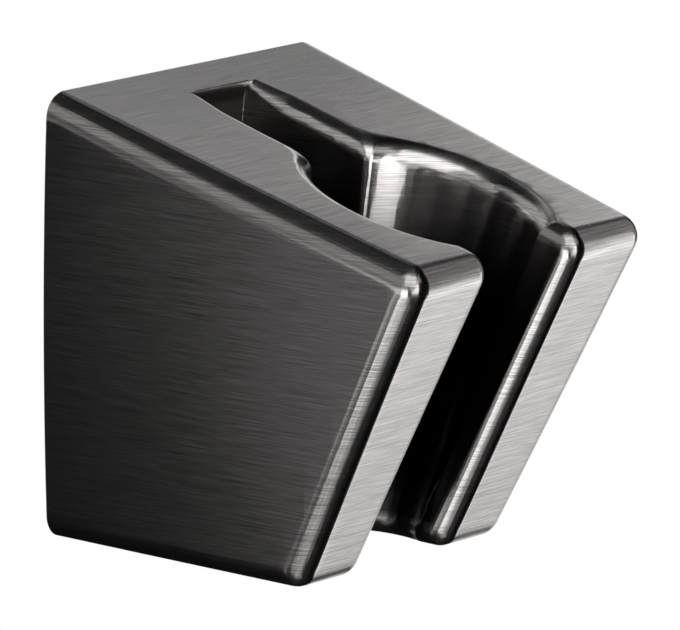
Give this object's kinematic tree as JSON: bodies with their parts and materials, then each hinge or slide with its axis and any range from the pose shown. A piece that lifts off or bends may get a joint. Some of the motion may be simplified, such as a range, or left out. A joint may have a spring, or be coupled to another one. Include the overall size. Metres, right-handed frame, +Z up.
{
  "type": "hand shower holder",
  "caption": "Block-shaped wall holder for a hand shower, with a leaning conical cradle, an open mouth in front of it and a narrow slot behind it.",
  "frame": {"origin": "centre of the mounting face on the wall, halfway up its edge", "axes": "+X to the right seen from the front, +Y into the wall, +Z up"},
  "size_m": [0.0496, 0.0473, 0.0499],
  "materials": {
    "brushed_gunmetal": "brushed, dark gunmetal grey"
  },
  "bodies": {
    "root": {"holder_body": "brushed_gunmetal"}
  },
  "joints": []
}
